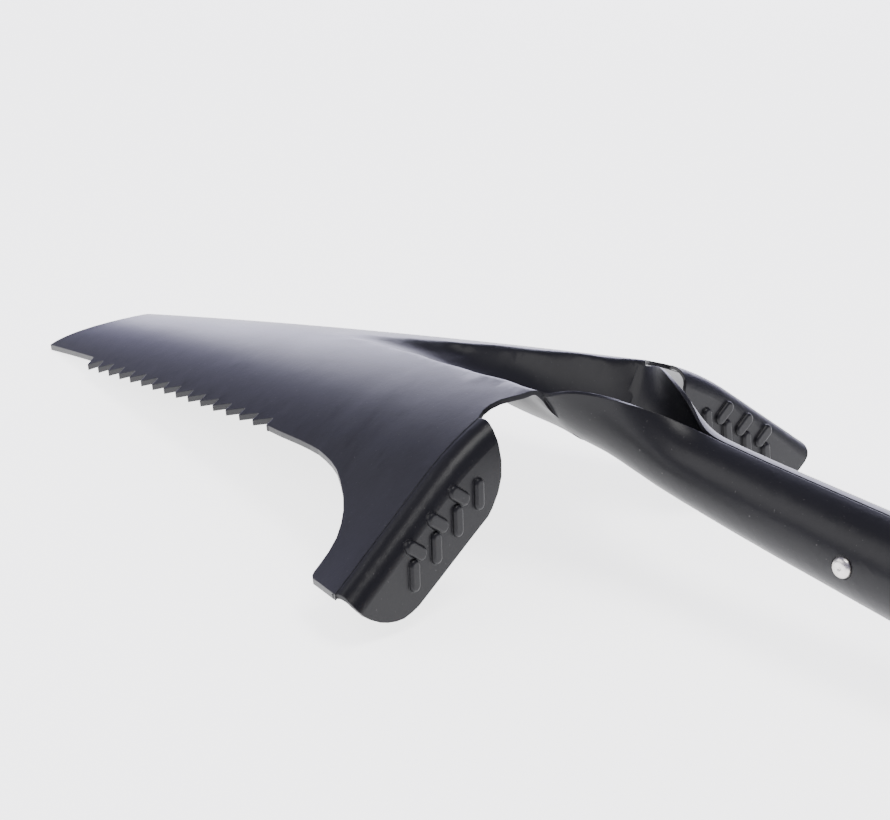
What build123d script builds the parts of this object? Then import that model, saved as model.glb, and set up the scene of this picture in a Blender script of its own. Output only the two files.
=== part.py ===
from build123d import *
from math import asin, atan2, cos, degrees, exp, pi, radians, sin, sqrt, tan
import os

# A camp shovel with a pressed and rolled steel head, an ash shaft and a D-grip.
# It lies back up, as it is put down on the ground: the two corners of the cutting edge and the
# underside of the grip rest on the floor.  +X runs from the blade towards the grip, +Y to the side
# that has no teeth, +Z up.  Millimetres.
#
# The head is laid out in its own frame, blade_frame: x towards the grip from the line where the
# treads are folded, z square to the crest of the blade.

os.makedirs("parts", exist_ok=True)

# ---------------------------------------------------------------- driving dimensions: sheet
sheet = 1.7                 # thickness of the pressed steel
tuck = 0.012                # one stretch of sheet slides this far inside the next where they join
tread_tuck = 0.15           # and a tread by this much

# blade
crest_height = 22.2         # back of the blade over the tread line
crest_rise = 0.060          # how fast the crest climbs towards the tip
crest_droop = 8.2e-5        # and how it flattens again
arch_radius_rear = 137.0    # cross curvature at the tread line
arch_tighten = 0.31         # how fast that radius shrinks towards the tip
arch_half = 76.0            # beyond this half width the wings run straight
root_half = 76.9            # half width of the blade, carried back to the tread line
side_taper = 0.158          # how fast the sides draw in towards the tip
tip_x = -324.0              # corners of the cutting edge
tip_depth = 37.0            # how deep the cutting edge is hollowed between its corners

# teeth, on the -Y side only
tooth_count = 15
tooth_pitch = 10.87
tooth_depth = 3.1
tooth_hook = 1.7            # how far each point leans towards the tip
first_root_x = -263.1
root_round = 1.2
point_round = 0.6

# wings, in front of the treads
wing_front_x = -28.6
fold_x = -9.0               # where the wings end and the folds of the treads begin

# valley of the open back, and socket
valley_start = -135.0
valley_half = 26.0          # half width of the valley at the tread line
valley_fan = 0.85           # how fast it gets there
rim_softness = 0.07
wall_lip = 1.0              # the walls of the neck rise this much over the bend they come from
wall_lip_end = 18.0         # by here
wall_climb = 0.02           # and from there this fast
wall_flare = 5.0            # the walls go on spreading over this length
socket_slope = 17.47        # degrees, socket axis under the blade frame's x
socket_ref_x = 105.0        # where the next two are measured
socket_axis_z = -30.0
socket_outer = 15.0         # outer radius there
socket_taper = 0.0342       # gain of radius along x
roll_end = 53.0             # the walls of the neck curl over and meet here
floor_end = 85.0            # from here on the lowest line is straight
floor_lift = 2.6            # the lowest line is raised this much at the tread line
floor_lift_half = 36.0
seam_half = 0.25            # half of the gap along the seam
socket_length = 176.0       # mouth, along the axis, from below the tread line

# treads
tread_y = 74.5
tread_slope = 32.2          # degrees, the fold line falls outwards
tread_lean = -5.0           # degrees, lower edge of a tread towards the tip
tread_depth = 26.7
fold_radius = 7.0
bar_pitch = 12.6
bar_width = 4.6
bar_height = 1.25
bar_round = 1.2

# ---------------------------------------------------------------- driving dimensions: the rest
rivet_shank = 2.5
rivet_head = 3.5
rivet_head_height = 2.0
rivet_along = 119.3         # first rivet, along the socket axis
rivet_step = 38.0           # to the second one
rivet_hole = 2.7
rivet_seat = 0.45           # flat pressed into the socket under each head
shaft_clearance = 0.3
shaft_radius = 15.6
shaft_start = 74.0          # front end of the wood inside the socket
shaft_end = 318.0
shaft_flat = 11.6           # the wood is cut flat here, both sides, for the arms of the grip
flat_length = 58.0
grip_centre = 392.0         # middle of the hand bar, along the socket axis
bar_radius = 14.5
bar_end_radius = 12.0
hand_width = 102.0          # clear width between the arms
arm = 3.0                   # thickness of an arm
arm_width = 20.0
arm_eye = 13.0              # outer radius of the eye at the end of an arm
arm_rivet = 2.5
arm_rivet_first = 12.0      # from the end of the wood
arm_rivet_step = 30.0
pin_radius = 4.0
pin_head = 6.5
pin_head_height = 3.0
washer_radius = 9.0
washer = 1.5

# ---------------------------------------------------------------- placing


def axis_z(x):
    """Height of the socket axis in the blade frame."""
    return socket_axis_z - (x - socket_ref_x) * tan(radians(socket_slope))


tip_z = 20.23               # underside of the corners of the cutting edge
grip_x = grip_centre * cos(radians(socket_slope))
grip_z = axis_z(0) - grip_centre * sin(radians(socket_slope))
span = sqrt((grip_x - tip_x) ** 2 + (grip_z - tip_z) ** 2)
pitch = asin(bar_radius / span) + atan2(tip_z - grip_z, grip_x - tip_x)
rest_pitch = degrees(pitch)
floor_drop = tip_z * cos(pitch) + tip_x * sin(pitch)
length_middle = 41.6        # from the tread line to the middle of the whole shovel, along the floor
blade_frame = Plane(origin=(-length_middle, 0, -floor_drop), x_dir=(cos(pitch), 0, sin(pitch)),
                    z_dir=(-sin(pitch), 0, cos(pitch)))
slope = radians(rest_pitch - socket_slope)
shaft_origin = blade_frame.from_local_coords((0, 0, axis_z(0)))
shaft_frame = Plane(origin=shaft_origin, x_dir=(0, 1, 0), z_dir=(cos(slope), 0, sin(slope)))


def section_plane(x):
    """Plane square to the blade frame's x: its own x is +Y, its own y is up."""
    return Plane(origin=blade_frame.from_local_coords((x, 0, 0)), x_dir=(0, 1, 0),
                 z_dir=blade_frame.x_dir)


# ---------------------------------------------------------------- shape of the sheet


def crest(x):
    """Height of the crest of the back, before the valley is pressed in."""
    if x > 0:
        return crest_height - crest_rise * x
    return crest_height - crest_rise * x - crest_droop * x * x


def back_height(x, y):
    """Height of the arched back, without the valley."""
    radius = arch_radius_rear + arch_tighten * x
    inner = min(abs(y), arch_half, 0.93 * radius)
    fall = sqrt(radius**2 - inner**2)
    return crest(x) - (radius - fall) - (abs(y) - inner) * inner / fall


def socket_radius(x):
    """Inner radius of the socket."""
    return socket_outer - sheet + socket_taper * (x - socket_ref_x)


def bore_floor(x):
    """Height of the lowest line of the socket's bore."""
    return axis_z(x) - socket_radius(x) / cos(radians(socket_slope))


def valley_floor(x):
    """Height of the lowest line of the valley, which runs on into the socket's bore."""
    if x >= floor_end:
        return bore_floor(x)
    span = floor_end - valley_start
    end_slope = bore_floor(1) - bore_floor(0)
    t = (x - valley_start) / span
    lift = floor_lift * max(1 - (x / floor_lift_half) ** 2, 0) ** 2
    return (lift + (2 * t**3 - 3 * t**2 + 1) * crest(valley_start)
            + (t**3 - 2 * t**2 + t) * span * -crest_rise
            + (3 * t**2 - 2 * t**3) * bore_floor(floor_end)
            + (t**3 - t**2) * span * end_slope)


def skin_height(x, y):
    """Height of the upper skin of the blade: arched back with the valley pressed in."""
    height = back_height(x, y)
    if x <= valley_start:
        return height
    half = valley_half * (1 - x / valley_start) ** valley_fan
    depth = crest(x) - valley_floor(x)
    inside = 1 - (y / half) ** 2
    full = (1 + sqrt(1 + rim_softness**2)) / 2
    return height - depth * (inside + sqrt(inside**2 + rim_softness**2)) / 2 / full


def roll(x):
    """0 where the channel is open, 1 where its walls have met."""
    t = min(max(x / roll_end, 0.0), 1.0)
    ease = 0.12
    if t < ease:
        return t * t / (2 * ease) / (1 - ease)
    if t > 1 - ease:
        return 1 - (1 - t) ** 2 / (2 * ease) / (1 - ease)
    return (t - ease / 2) / (1 - ease)


def under(points, distance):
    """The same run of points, moved square to itself to the hollow side."""
    moved = []
    for i, (y, z) in enumerate(points):
        before = points[max(i - 1, 0)]
        after = points[min(i + 1, len(points) - 1)]
        along = (after[0] - before[0], after[1] - before[1])
        length = sqrt(along[0] ** 2 + along[1] ** 2)
        moved.append((y + distance * along[1] / length, z - distance * along[0] / length))
    return moved


def blank_half(x):
    """Half width of the blank that the outline is cut from."""
    t = min(max((x + 90) / 60, 0.0), 1.0)
    return root_half + side_taper * x + 6 + 43 * t * t * (3 - 2 * t)


def blade_skin(x):
    """Upper skin across the blade, closer points near the valley."""
    points = []
    for i in range(-24, 25):
        s = i / 24
        y = blank_half(x) * (0.4 * s + 0.6 * s**3)
        points.append((y, skin_height(x, y)))
    return points


def channel_skin(x):
    """Inner skin of the channel and the socket, from one edge of the seam to the other."""
    closed = roll(x)
    radius = socket_radius(x)
    stretch = 1 / cos(radians(socket_slope))
    turn = pi - seam_half / radius
    low = valley_floor(x)
    mouth_x = min(x, 0.0)
    mouth_low = valley_floor(mouth_x)
    wall_half = valley_half - 0.3
    mouth_rise = skin_height(mouth_x, wall_half) - mouth_low
    behind = max(x, 0.0)
    lip = min(behind / wall_lip_end, 1.0)
    rise = mouth_rise + mouth_low - low + wall_climb * behind + wall_lip * lip * lip * (3 - 2 * lip)
    flare = 1 - valley_fan / valley_start * behind * exp(-behind / wall_flare)
    points = []
    for i in range(-24, 25):
        s = i / 24
        open_y = wall_half * s
        open_z = low + rise * (skin_height(mouth_x, open_y) - mouth_low) / mouth_rise
        round_y = radius * sin(turn * s)
        round_z = low + radius * stretch * (1 - cos(turn * s))
        points.append(((1 - closed) * open_y * flare + closed * round_y,
                       (1 - closed) * open_z + closed * round_z))
    return points


def wing_fall(y):
    """Slope of the back across the shovel at the tread line."""
    inner = min(abs(y), arch_half)
    return inner / sqrt(arch_radius_rear**2 - inner**2)


def fold_profile(y, distance):
    """Tongue, fold and flange of a tread, seen along Y: (x, z) points, a distance under the skin."""
    stretch = sqrt(1 + wing_fall(y) ** 2)
    back_slope = (back_height(fold_x, y) - back_height(fold_x - 4, y)) / 4
    top = back_height(fold_x, y) - back_slope * fold_x
    dip = atan2(-back_slope, stretch)
    turn_end = pi / 2 - radians(tread_lean)
    reach = fold_radius * tan((turn_end - dip) / 2)
    centre_x = -reach * cos(dip) - fold_radius * sin(dip)
    centre_w = -reach * sin(dip) + fold_radius * cos(dip)
    radius = fold_radius - distance
    bend = []
    for i in range(9):
        angle = dip + (turn_end - dip) * i / 8
        bend.append((centre_x + radius * sin(angle), top - (centre_w - radius * cos(angle)) * stretch))
    tongue = (fold_x - 2, back_height(fold_x - 2, y) - distance * stretch)
    down = 34.0
    foot_x = centre_x + radius * sin(turn_end) + down * cos(turn_end)
    foot_w = centre_w - radius * cos(turn_end) + down * sin(turn_end)
    return tongue, bend, (foot_x, top - foot_w * stretch)


# ---------------------------------------------------------------- blade_head


def smooth(points):
    """Smooth edge through points, its parameter spread the same way at every station."""
    return Edge.make_spline([Vector(*p) for p in points], parameters=evenly(0, 1, len(points)))


def evenly(first, last, count):
    """Evenly spaced stations, both ends included."""
    return [first + (last - first) * i / (count - 1) for i in range(count)]


def side_y(x):
    """Half width of the blade at the roots of the teeth."""
    return root_half + side_taper * x


wing = [(-110.4, 62.6), (-101.3, 64.4), (-86.2, 67.1), (-78.8, 68.5), (-72.3, 70.0), (-66.2, 71.9),
        (-60.7, 73.8), (-55.0, 76.3), (-48.9, 80.0), (-41.9, 84.9), (-36.3, 90.0), (-32.6, 94.5),
        (-29.8, 99.3), (-28.6, 104.3), (wing_front_x, 108.6)]
wing_corner = [(wing_front_x, 108.6), (-28.8, 111.0), (-28.4, 112.3), (-27.2, 113.2), (-21.5, 114.9)]
wing_end = [(fold_x - 2, 118.1), (fold_x, 118.6)]
throat = (0.6, 26.2)
neck = [(fold_x, 48.2), (-10.7, 44.5), (-10.9, 40.8), (-9.6, 37.2), (-7.1, 34.5), (-4.8, 31.9),
        (-2.4, 29.3), (-0.7, 27.7)]


def rounded(before, corner, after, reach):
    """Three points that round a corner off between its neighbours."""
    near = []
    for end in (before, after):
        length = sqrt((end[0] - corner[0]) ** 2 + (end[1] - corner[1]) ** 2)
        near.append((corner[0] + (end[0] - corner[0]) * reach / length,
                     corner[1] + (end[1] - corner[1]) * reach / length))
    middle = tuple((near[0][i] + near[1][i] + 2 * corner[i]) / 4 for i in (0, 1))
    return [near[0], middle, near[1]]


saw = [(tip_x + 1.2, -side_y(tip_x) - 0.2)]
for k in range(-1, tooth_count):
    root_x = first_root_x + tooth_pitch * k
    saw.append((root_x, -side_y(root_x)))
    saw.append((root_x - tooth_hook, -side_y(root_x) - tooth_depth))
saw.append((-110.4, -62.6))
saw_edge = [saw[0]]
for k in range(1, len(saw) - 1):
    saw_edge += rounded(saw[k - 1], saw[k], saw[k + 1], root_round if k % 2 else point_round)
saw_edge.append(saw[-1])

hollow = [(tip_x + tip_depth * (1 - s * s / 36), side_y(tip_x) * s / 6) for s in range(-6, 7)]
hollow[0] = (tip_x + 0.6, hollow[0][1])
hollow[-1] = (tip_x + 0.6, hollow[-1][1])

with BuildPart() as blade:
    for x in evenly(-335, 6, 23):
        with BuildSketch(section_plane(x)):
            with BuildLine():
                upper = smooth(blade_skin(x))
                lower = smooth(under(blade_skin(x), sheet))
                add([upper, lower])
                Line(upper @ 0, lower @ 0)
                Line(upper @ 1, lower @ 1)
            make_face()
    loft()
    with BuildSketch(blade_frame):
        with BuildLine():
            for side in (-1, 1):
                Polyline(*[(x, side * y) for x, y in wing + wing_corner[1:] + wing_end + neck + [throat]])
            Line((throat[0], -throat[1]), throat)
            Polyline(*saw_edge)
            Line((tip_x + 1.2, side_y(tip_x) + 0.2), (-110.4, 62.6))
            Polyline((tip_x + 1.2, -side_y(tip_x) - 0.2), *hollow, (tip_x + 1.2, side_y(tip_x) + 0.2))
        make_face()
    extrude(amount=60, both=True, mode=Mode.INTERSECT)

with BuildPart() as channel:
    for x in evenly(-2, 178, 19):
        with BuildSketch(section_plane(x)):
            with BuildLine():
                inner = smooth(under(channel_skin(x), tuck))
                outer = smooth(under(channel_skin(x), sheet - tuck))
                add([inner, outer])
                Line(inner @ 0, outer @ 0)
                Line(inner @ 1, outer @ 1)
            make_face()
    loft()
    split(bisect_by=Plane(origin=shaft_frame.from_local_coords((0, 0, socket_length)),
                          x_dir=shaft_frame.x_dir, z_dir=shaft_frame.z_dir), keep=Keep.BOTTOM)

across = (0, -cos(radians(tread_slope)), -sin(radians(tread_slope)))
lean = radians(tread_lean)
down = (sin(lean), cos(lean) * sin(radians(tread_slope)), -cos(lean) * cos(radians(tread_slope)))
facing = (across[1] * down[2] - across[2] * down[1], across[2] * down[0] - across[0] * down[2],
          across[0] * down[1] - across[1] * down[0])


def headed(v):
    """A direction of the blade frame, as it lies in the world."""
    return blade_frame.from_local_coords(v) - blade_frame.origin


tread_plane = Plane(origin=blade_frame.from_local_coords((0, -tread_y, 0)), x_dir=headed(across),
                    z_dir=headed(facing))
tread_outline = [(-31, -12), (-30.4, 2), (-27.6, 4.4), (-25.9, 6.9), (-24.9, 10.2), (-22.7, 15.6),
                 (-19.4, 20.2), (-15.0, 23.5), (-9.7, 25.9), (-6.6, tread_depth), (34.7, tread_depth),
                 (38.2, 26.1), (41.9, 25.0), (44.9, 23.1), (47.7, 20.6), (50.0, 17.9), (52.0, 14.6),
                 (53.6, 10.9), (54.2, 8.2), (54.3, 6.2), (53.9, 4.3), (53.2, 2.9), (52.6, 1.8),
                 (52.15, 0.6), (52.15, -12), (-31, -12)]

with BuildPart() as tread:
    for y in evenly(-45, -125, 11):
        side_plane = Plane(origin=blade_frame.from_local_coords((0, y, 0)),
                           x_dir=blade_frame.x_dir, z_dir=(0, -1, 0))
        with BuildSketch(side_plane):
            with BuildLine():
                tongue, bend, foot = fold_profile(y, tread_tuck)
                inner_tongue, inner_bend, inner_foot = fold_profile(y, sheet - tread_tuck)
                Line(tongue, bend[0])
                add(smooth(bend))
                Line(bend[-1], foot)
                Line(foot, inner_foot)
                Line(inner_foot, inner_bend[-1])
                add(smooth(inner_bend))
                Line(inner_bend[0], inner_tongue)
                Line(inner_tongue, tongue)
            make_face()
    loft()
    with BuildSketch(tread_plane):
        with BuildLine():
            Polyline(*tread_outline)
        make_face()
    extrude(amount=30, both=True, mode=Mode.INTERSECT)


def raised_bar(length, width, u, v, turn):
    """One raised bar with a rounded top, on the rear face of the near tread."""
    with BuildPart() as one:
        with BuildSketch():
            SlotOverall(length, width)
        extrude(amount=0.8 + bar_height)
        fillet(one.edges().group_by(Axis.Z)[-1], bar_round)
    return one.part.moved(tread_plane.location * Location((u, v, -0.8), (0, 0, turn)))


near_bars = [raised_bar(10.5, bar_width + 0.5, -0.65 + bar_pitch * k, 10.35, 112.3) for k in range(3)]
near_bars += [raised_bar(11.29, bar_width, -7.7 + bar_pitch * k, 16.75, 55.5) for k in range(4)]


# ---------------------------------------------------------------- fasteners of the socket


def axis_point(along, y=0.0):
    """A point on the shaft's axis, moved sideways."""
    return shaft_frame.from_local_coords((y, 0, along))


def sideways(along, side):
    """Plane at the shaft's axis that looks out to one side."""
    return Plane(origin=axis_point(along), x_dir=shaft_frame.z_dir, z_dir=(0, side, 0))


rivet_stations = [rivet_along, rivet_along + rivet_step]


def seat_y(along):
    """Distance of the flat under a rivet's head from the axis."""
    x = along * cos(radians(socket_slope))
    return socket_outer + socket_taper * (x - socket_ref_x) - rivet_seat


with BuildPart() as socket_rivets:
    for along in rivet_stations:
        for side in (-1, 1):
            with BuildSketch(sideways(along, side)):
                Circle(rivet_shank)
            extrude(amount=seat_y(along) + 0.5)
            with BuildSketch(sideways(along, side).offset(seat_y(along))):
                Circle(rivet_head)
            extrude(amount=rivet_head_height)
    rims = socket_rivets.edges().filter_by(GeomType.CIRCLE)
    rims = rims.filter_by(lambda e: abs(e.radius - rivet_head) < 0.01)
    tops = [e for e in rims if min(abs(abs(e.center().Y) - seat_y(a) - rivet_head_height)
                                   for a in rivet_stations) < 0.01]
    fillet(tops, 1.8)
    for along in rivet_stations:
        for side in (-1, 1):
            with Locations(axis_point(along, side * (seat_y(along) + rivet_head_height + 0.9))):
                Sphere(1.2, mode=Mode.SUBTRACT)

# ---------------------------------------------------------------- shaft
arm_stations = [shaft_end - arm_rivet_first, shaft_end - arm_rivet_first - arm_rivet_step]


def bore_radius(along):
    """Inner radius of the socket, a distance along the axis."""
    return socket_radius(along * cos(radians(socket_slope)))


with BuildPart() as shaft:
    with BuildSketch(Plane(origin=shaft_frame.origin, x_dir=shaft_frame.x_dir, z_dir=-shaft_frame.y_dir)):
        with BuildLine():
            front = bore_radius(shaft_start) - shaft_clearance
            mouth = bore_radius(socket_length) - shaft_clearance
            Polyline((0, shaft_start), (front - 1, shaft_start), (front, shaft_start + 1),
                     (mouth, socket_length + 2), (shaft_radius, socket_length + 14),
                     (shaft_radius, shaft_end - 1.5), (shaft_radius - 1.5, shaft_end), (0, shaft_end),
                     (0, shaft_start))
        make_face()
    revolve(axis=Axis(shaft_frame.origin, shaft_frame.z_dir))
    for side in (-1, 1):
        with BuildSketch(sideways(shaft_end - flat_length / 2, side).offset(shaft_flat)):
            Rectangle(flat_length, 40)
        extrude(amount=20, mode=Mode.SUBTRACT)
    for along in rivet_stations + arm_stations:
        with BuildSketch(sideways(along, 1)):
            Circle(rivet_hole)
        extrude(amount=30, both=True, mode=Mode.SUBTRACT)

# ---------------------------------------------------------------- grip

arm_foot = shaft_end - flat_length + 0.5
flat_plane = Plane(origin=shaft_frame.origin, x_dir=shaft_frame.x_dir, z_dir=-shaft_frame.y_dir)
near_y = shaft_flat + arm / 2
far_y = (hand_width + arm) / 2


def grip_arm(side):
    """One arm: foot on the flat of the shaft, bent out to the hand bar, eye at the end."""
    with BuildPart() as strip:
        with BuildSketch(flat_plane):
            with BuildLine():
                FilletPolyline((side * near_y, arm_foot), (side * near_y, shaft_end + 5),
                               (side * far_y, grip_centre - 45), (side * far_y, grip_centre + arm_eye),
                               radius=13)
            trace(line_width=arm)
        extrude(amount=arm_eye + 1, both=True)
        with BuildSketch(sideways(grip_centre, 1)):
            Circle(arm_eye)
            with Locations(((arm_foot - grip_centre) / 2, 0)):
                Rectangle(grip_centre - arm_foot, arm_width)
        extrude(amount=80, both=True, mode=Mode.INTERSECT)
        with BuildSketch(sideways(grip_centre, 1)):
            Circle(pin_radius + 0.2)
            with Locations(*[(along - grip_centre, 0) for along in arm_stations]):
                Circle(rivet_hole)
        extrude(amount=80, both=True, mode=Mode.SUBTRACT)
    return strip


grip_arm_left = grip_arm(1)
grip_arm_right = grip_arm(-1)

with BuildPart() as grip_rivets:
    for along in arm_stations:
        for side in (-1, 1):
            with BuildSketch(sideways(along, side)):
                Circle(arm_rivet)
            extrude(amount=shaft_flat + arm + 0.5)
            with BuildSketch(sideways(along, side).offset(shaft_flat + arm)):
                Circle(4.5)
            extrude(amount=2.2)
    rims = grip_rivets.edges().filter_by(GeomType.CIRCLE)
    rims = rims.filter_by(lambda e: abs(e.radius - 4.5) < 0.01)
    fillet([e for e in rims if abs(e.center().Y) > shaft_flat + arm + 1], 2.0)

across_plane = Plane(origin=axis_point(grip_centre), x_dir=shaft_frame.z_dir, z_dir=shaft_frame.y_dir)
bar_half = hand_width / 2 - 0.15
with BuildPart() as hand_bar:
    with BuildSketch(across_plane):
        with BuildLine():
            Line((pin_radius + 0.2, -bar_half), (bar_end_radius - 1, -bar_half))
            swell = Spline((bar_end_radius, 1 - bar_half), (13.6, -0.55 * bar_half), (bar_radius, 0),
                           (13.6, 0.55 * bar_half), (bar_end_radius, bar_half - 1))
            Line((bar_end_radius - 1, -bar_half), swell @ 0)
            Line(swell @ 1, (bar_end_radius - 1, bar_half))
            Polyline((bar_end_radius - 1, bar_half), (pin_radius + 0.2, bar_half),
                     (pin_radius + 0.2, -bar_half))
        make_face()
    revolve(axis=Axis(axis_point(grip_centre), (0, 1, 0)))

pin_half = hand_width / 2 + arm + washer
with BuildPart() as hand_bar_pin:
    for side in (-1, 1):
        with BuildSketch(sideways(grip_centre, side)):
            Circle(pin_radius)
        extrude(amount=pin_half + 0.5)
        with BuildSketch(sideways(grip_centre, side).offset(pin_half)):
            Circle(pin_head)
        extrude(amount=pin_head_height)
    rims = hand_bar_pin.edges().filter_by(GeomType.CIRCLE)
    rims = rims.filter_by(lambda e: abs(e.radius - pin_head) < 0.01)
    fillet([e for e in rims if abs(e.center().Y) > pin_half + 1], 2.6)

with BuildPart() as pin_washers:
    for side in (-1, 1):
        with BuildSketch(sideways(grip_centre, side).offset(hand_width / 2 + arm)):
            Circle(washer_radius)
            Circle(pin_radius + 0.2, mode=Mode.SUBTRACT)
        extrude(amount=washer)

# ---------------------------------------------------------------- the head as one sheet

with BuildPart() as blade_head:
    add(blade.part)
    add(channel.part)
    add(tread.part)
    add(mirror(tread.part, about=Plane.XZ, mode=Mode.PRIVATE))
    add(near_bars)
    add([mirror(bar, about=Plane.XZ, mode=Mode.PRIVATE) for bar in near_bars])
    for along in rivet_stations:
        for side in (-1, 1):
            with BuildSketch(sideways(along, side)):
                Circle(rivet_hole)
            extrude(amount=30, mode=Mode.SUBTRACT)
            with BuildSketch(sideways(along, side).offset(seat_y(along))):
                Circle(rivet_head + 0.5)
            extrude(amount=6, mode=Mode.SUBTRACT)

# ---------------------------------------------------------------- nodes

blade_head.part.label = "blade_head"
export_step(blade_head.part, "parts/blade_head.step")
shaft.part.label = "shaft"
export_step(shaft.part, "parts/shaft.step")
socket_rivets.part.label = "socket_rivets"
export_step(socket_rivets.part, "parts/socket_rivets.step")
grip_arm_left.part.label = "grip_arm_left"
export_step(grip_arm_left.part, "parts/grip_arm_left.step")
grip_arm_right.part.label = "grip_arm_right"
export_step(grip_arm_right.part, "parts/grip_arm_right.step")
grip_rivets.part.label = "grip_rivets"
export_step(grip_rivets.part, "parts/grip_rivets.step")
hand_bar.part.label = "hand_bar"
export_step(hand_bar.part, "parts/hand_bar.step")
hand_bar_pin.part.label = "hand_bar_pin"
export_step(hand_bar_pin.part, "parts/hand_bar_pin.step")
pin_washers.part.label = "pin_washers"
export_step(pin_washers.part, "parts/pin_washers.step")
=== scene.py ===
import math

import bpy
from mathutils import Matrix, Vector

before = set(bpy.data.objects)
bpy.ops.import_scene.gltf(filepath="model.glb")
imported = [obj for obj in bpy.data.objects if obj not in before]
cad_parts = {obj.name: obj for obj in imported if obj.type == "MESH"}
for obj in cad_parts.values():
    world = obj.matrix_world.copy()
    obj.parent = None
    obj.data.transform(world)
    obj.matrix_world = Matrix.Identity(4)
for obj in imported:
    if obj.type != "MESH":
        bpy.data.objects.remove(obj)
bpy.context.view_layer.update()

# The CAD nodes of the camp shovel as they are, with their materials, on a pale floor in a light
# studio.  Metres; the shovel lies along X with the blade at -X and its toothed side at -Y.

MM = 0.001

# ---------------------------------------------------------------- how the pieces lie, as in the CAD
HEAD_PITCH = math.radians(12.1058)            # the head's own x, over the floor
TREAD_LINE = Vector((-41.6, 0, 48.168)) * MM  # the head is laid out from the fold of its treads
SHAFT_SLOPE = math.radians(-5.3642)           # the shaft falls towards the grip

# ---------------------------------------------------------------- camera, in the head's own frame
CAMERA_AZIMUTH = 0.8532                       # radians
CAMERA_HEIGHT = 0.1812
CAMERA_ROLL = -0.1103
CAMERA_OFFSET = Vector((-54.626, 6.688, 708.357)) * MM  # right, up and back from the tread line
CAMERA_LENS = 80.9
SENSOR_WIDTH = 36
CLIP_START = 0.01
CLIP_END = 50

# ---------------------------------------------------------------- floor and light
FLOOR_HALF = 6.0
FLOOR_ALBEDO = 0.94
FLOOR_ROUGHNESS = 0.8
FLOOR_GLOW = 2.8                              # keeps the floor near white
WORLD_COLOUR = (0.70, 0.68, 1.0, 1)
WORLD_BRIGHT_SIDE = (-0.68, 0.68, -0.28)      # low, behind the blade
WORLD_DIM = 0.45
WORLD_BRIGHT = 5.4
WORLD_TURN = (0.58, 1.0)                      # dim below the first cosine to that side
# name, place, aimed at, size, watts, colour
SOFT_BOXES = [
    ("front", (-1.3, -1.6, 1.5), (0.0, 0.0, 0.0), (2.6, 1.6), 44, (1.0, 0.99, 0.97)),
    ("top", (0.5, 0.15, 2.0), (0.0, 0.0, 0.0), (0.9, 0.9), 28, (1.0, 0.99, 0.96)),
    ("rim", (-1.6, 1.7, 0.55), (-0.1, 0.0, 0.05), (2.2, 0.8), 20, (0.93, 0.93, 1.0)),
]


def head_matrix():
    """Turns and moves the head's own frame into the row frame."""
    return Matrix.Translation(TREAD_LINE) @ Matrix.Rotation(-HEAD_PITCH, 4, "Y")


def make_camera():
    """The camera, turned about the tread line and then moved back from it."""
    az, el, roll = CAMERA_AZIMUTH, CAMERA_HEIGHT, CAMERA_ROLL
    back = Vector((math.sin(az) * math.cos(el), -math.cos(az) * math.cos(el), math.sin(el)))
    right = Vector((math.cos(az), math.sin(az), 0))
    up = back.cross(right)
    right, up = (math.cos(roll) * right + math.sin(roll) * up,
                 math.cos(roll) * up - math.sin(roll) * right)
    turn = Matrix((right, up, back)).transposed()
    place = Matrix.Translation(turn @ CAMERA_OFFSET) @ turn.to_4x4()
    data = bpy.data.cameras.new("camera")
    data.lens = CAMERA_LENS
    data.sensor_width = SENSOR_WIDTH
    data.clip_start = CLIP_START
    data.clip_end = CLIP_END
    camera = bpy.data.objects.new("camera", data)
    bpy.context.scene.collection.objects.link(camera)
    camera.matrix_world = head_matrix() @ place
    bpy.context.scene.camera = camera


# ---------------------------------------------------------------- shader nodes


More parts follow.
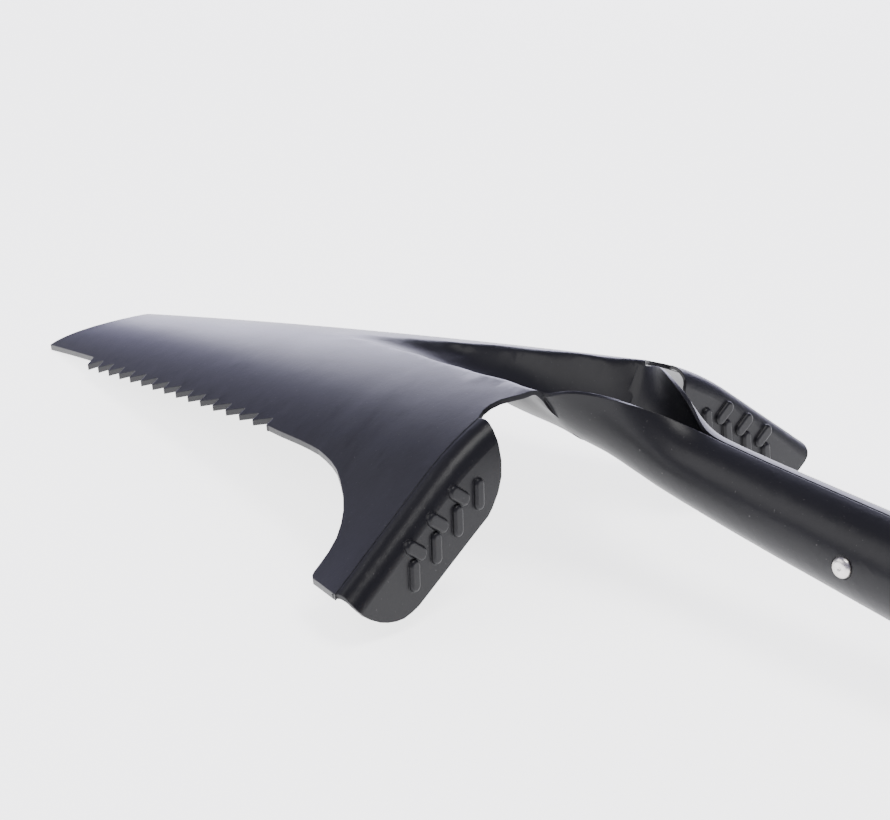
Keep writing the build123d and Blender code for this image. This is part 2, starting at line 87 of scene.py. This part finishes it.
class Shader:
    """A material and short ways to add nodes to it."""

    def __init__(self, name, **sockets):
        self.material = bpy.data.materials.new(name)
        self.material.use_nodes = True
        self.tree = self.material.node_tree
        self.out = self.tree.nodes["Principled BSDF"]
        for socket, value in sockets.items():
            self.out.inputs[socket.replace("_", " ")].default_value = value

    def node(self, kind, *links, **values):
        """A new node; links are (socket, value or output) pairs, values are its own settings."""
        made = self.tree.nodes.new("ShaderNode" + kind)
        for name, value in values.items():
            setattr(made, name, value)
        for socket, value in links:
            target = made.inputs[socket]
            if isinstance(value, bpy.types.NodeSocket):
                self.tree.links.new(value, target)
            else:
                target.default_value = value
        return made

    def link(self, value, socket):
        """Feeds an output into the material's own socket."""
        self.tree.links.new(value, self.out.inputs[socket])

    def place(self, scale=(1, 1, 1), turn=(0, 0, 0)):
        """Object coordinates, scaled and turned."""
        where = self.node("TexCoord").outputs["Object"]
        return self.node("Mapping", ("Vector", where), ("Scale", scale),
                         ("Rotation", turn)).outputs["Vector"]

    def stretch(self, where, scale):
        """The same coordinates, scaled once more."""
        return self.node("Mapping", ("Vector", where), ("Scale", scale)).outputs["Vector"]

    def noise(self, where, scale, detail=3.0, rough=0.5):
        """Soft noise from 0 to 1; scale counts waves in a metre."""
        return self.node("TexNoise", ("Vector", where), ("Scale", scale), ("Detail", detail),
                         ("Roughness", rough)).outputs["Fac"]

    def remap(self, value, low, high, to_low, to_high):
        """Runs from to_low to to_high while value runs from low to high."""
        return self.node("MapRange", ("Value", value), ("From Min", low), ("From Max", high),
                         ("To Min", to_low), ("To Max", to_high)).outputs["Result"]

    def math(self, operation, a, b=0.0):
        """One sum, of a and b."""
        return self.node("Math", (0, a), (1, b), operation=operation).outputs["Value"]

    def mix(self, factor, a, b):
        """Colour a where factor is 0, colour b where it is 1."""
        made = self.node("Mix", data_type="RGBA")
        for index, value in ((0, factor), (6, a), (7, b)):
            if isinstance(value, bpy.types.NodeSocket):
                self.tree.links.new(value, made.inputs[index])
            else:
                made.inputs[index].default_value = value
        return made.outputs[2]

    def bump(self, height, strength, distance, normal):
        """The normal with height pressed into it."""
        return self.node("Bump", ("Height", height), ("Strength", strength),
                         ("Distance", distance), ("Normal", normal)).outputs["Normal"]

    def soft_edges(self, radius):
        """Normals that round sharp edges off."""
        return self.node("Bevel", ("Radius", radius), samples=6).outputs["Normal"]

    def edge_mask(self, soft):
        """1 where the softened normal leaves the true one, 0 on the flats."""
        flat = self.node("NewGeometry").outputs["Normal"]
        dot = self.node("VectorMath", (0, soft), (1, flat), operation="DOT_PRODUCT")
        return self.remap(dot.outputs["Value"], 0.995, 0.80, 0.0, 1.0)


# ---------------------------------------------------------------- materials


def powder_coat():
    """Black satin powder coat: fine grain, slight unevenness, and paler along the edges, partly as
    wear and partly as a painted highlight.
    """
    s = Shader("black_powder_coat", Roughness=0.36, Specular_IOR_Level=0.20)
    where = s.place()
    soft = s.soft_edges(0.5 * MM)
    edge = s.edge_mask(soft)
    cloud = s.noise(where, 18, 4)
    grain = s.noise(where, 1500, 2)
    peel = s.noise(where, 420, 3)
    patches = s.noise(where, 60, 5, 0.65)
    specks = s.noise(where, 900, 2)
    cells = s.node("TexVoronoi", ("Vector", where), ("Scale", 150)).outputs["Distance"]

    colour = s.mix(cloud, (0.006, 0.006, 0.0072, 1), (0.011, 0.011, 0.013, 1))
    # Paler coat along the edges, broken into patches: partly edge wear, partly a painted highlight
    # where the edges catch the light.
    edge_wear_and_highlight = s.math("MULTIPLY", edge, s.remap(patches, 0.42, 0.62, 0.05, 0.55))
    colour = s.mix(edge_wear_and_highlight, colour, (0.055, 0.055, 0.058, 1))
    dust = s.remap(specks, 0.70, 0.78, 0.0, 0.10)
    colour = s.mix(dust, colour, (0.30, 0.29, 0.28, 1))
    s.link(colour, "Base Color")

    uneven = s.math("ADD", cloud, s.math("MULTIPLY", grain, 0.5))
    s.link(s.remap(uneven, 0.5, 1.0, 0.33, 0.38), "Roughness")

    normal = s.bump(peel, 0.10, 0.25 * MM, soft)
    normal = s.bump(grain, 0.16, 0.10 * MM, normal)
    normal = s.bump(s.remap(cells, 0.0, 0.09, 0.0, 1.0), 0.10, 0.12 * MM, normal)
    s.link(normal, "Normal")
    return s.material


def ash_wood(name, turn):
    """Oiled ash: long growth rings and pores along the piece, which turn lays along X."""
    s = Shader(name, Roughness=0.45)
    where = s.place(turn=turn)
    along = s.stretch(where, (0.055, 1, 1))
    rings = s.node("TexWave", ("Vector", along), ("Scale", 62), ("Distortion", 4.5),
                   ("Detail", 2.5), ("Detail Scale", 1.3), bands_direction="Z").outputs["Fac"]
    pores = s.noise(s.stretch(where, (0.03, 1, 1)), 2600, 2)
    tone = s.noise(along, 14, 3)
    dark = s.remap(pores, 0.56, 0.68, 0.0, 0.75)

    colour = s.mix(rings, (0.46, 0.29, 0.14, 1), (0.29, 0.16, 0.068, 1))
    colour = s.mix(s.remap(tone, 0.3, 0.7, 0.0, 0.5), colour, (0.52, 0.35, 0.185, 1))
    colour = s.mix(dark, colour, (0.16, 0.085, 0.035, 1))
    s.link(colour, "Base Color")
    s.link(s.remap(rings, 0, 1, 0.40, 0.55), "Roughness")
    relief = s.math("SUBTRACT", rings, dark)
    s.link(s.bump(relief, 0.20, 0.15 * MM, s.soft_edges(0.8 * MM)), "Normal")
    return s.material


def bright_steel():
    """Turned steel: fine streaks, duller patches and a few dark spots."""
    s = Shader("bright_steel", Metallic=1.0, Roughness=0.33)
    where = s.place()
    streaks = s.noise(s.place(scale=(1, 0.2, 1)), 2600, 3)
    blotch = s.noise(where, 420, 4)
    spots = s.noise(where, 1100, 2)

    duller = s.remap(blotch, 0.35, 0.7, 0.0, 1.0)
    colour = s.mix(duller, (0.66, 0.64, 0.62, 1), (0.47, 0.45, 0.43, 1))
    colour = s.mix(s.remap(spots, 0.68, 0.74, 0.0, 0.7), colour, (0.12, 0.11, 0.10, 1))
    s.link(colour, "Base Color")
    s.link(s.remap(streaks, 0.3, 0.7, 0.26, 0.44), "Roughness")
    s.link(s.bump(streaks, 0.18, 0.06 * MM, s.soft_edges(0.4 * MM)), "Normal")
    return s.material


def dress_nodes():
    """Each CAD node gets its material in all its slots."""
    coat = powder_coat()
    steel = bright_steel()
    looks = {
        "blade_head": coat,
        "grip_arm_left": coat,
        "grip_arm_right": coat,
        "shaft": ash_wood("ash_wood_shaft", (0, SHAFT_SLOPE, 0)),
        "hand_bar": ash_wood("ash_wood_bar", (0, 0, math.pi / 2)),
        "socket_rivets": steel,
        "grip_rivets": steel,
        "hand_bar_pin": steel,
        "pin_washers": steel,
    }
    for name, look in looks.items():
        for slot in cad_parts[name].material_slots:
            slot.material = look


# ---------------------------------------------------------------- studio


def make_floor():
    """A wide pale floor that glows a little."""
    s = Shader("floor", Roughness=FLOOR_ROUGHNESS, Emission_Strength=FLOOR_GLOW)
    s.out.inputs["Base Color"].default_value = (FLOOR_ALBEDO, FLOOR_ALBEDO, FLOOR_ALBEDO, 1)
    s.out.inputs["Emission Color"].default_value = (1, 1, 1, 1)
    mesh = bpy.data.meshes.new("floor")
    corners = [(x * FLOOR_HALF, y * FLOOR_HALF, 0) for x, y in ((-1, -1), (1, -1), (1, 1), (-1, 1))]
    mesh.from_pydata(corners, [], [(0, 1, 2, 3)])
    floor = bpy.data.objects.new("floor", mesh)
    floor.data.materials.append(s.material)
    bpy.context.scene.collection.objects.link(floor)


def soft_box(name, place, aim, size, power, colour):
    """A rectangular lamp that looks at a point."""
    data = bpy.data.lights.new(name, "AREA")
    data.shape = "RECTANGLE"
    data.size, data.size_y = size
    data.energy = power
    data.color = colour
    lamp = bpy.data.objects.new(name, data)
    bpy.context.scene.collection.objects.link(lamp)
    lamp.location = place
    lamp.rotation_mode = "QUATERNION"
    lamp.rotation_quaternion = (Vector(aim) - Vector(place)).to_track_quat("-Z", "Y")


def make_world():
    """Lilac studio all round, brightest low behind the blade and dim everywhere else."""
    world = bpy.data.worlds.new("studio")
    world.use_nodes = True
    tree = world.node_tree
    background = tree.nodes["Background"]
    background.inputs["Color"].default_value = WORLD_COLOUR
    direction = tree.nodes.new("ShaderNodeTexCoord").outputs["Generated"]
    towards = tree.nodes.new("ShaderNodeVectorMath")
    towards.operation = "DOT_PRODUCT"
    towards.inputs[1].default_value = WORLD_BRIGHT_SIDE
    tree.links.new(direction, towards.inputs[0])
    level = tree.nodes.new("ShaderNodeMapRange")
    level.interpolation_type = "SMOOTHSTEP"
    level.inputs["From Min"].default_value = WORLD_TURN[0]
    level.inputs["From Max"].default_value = WORLD_TURN[1]
    level.inputs["To Min"].default_value = WORLD_DIM
    level.inputs["To Max"].default_value = WORLD_BRIGHT
    tree.links.new(towards.outputs["Value"], level.inputs["Value"])
    tree.links.new(level.outputs["Result"], background.inputs["Strength"])
    bpy.context.scene.world = world


make_camera()
dress_nodes()
make_floor()
make_world()
for box in SOFT_BOXES:
    soft_box(*box)
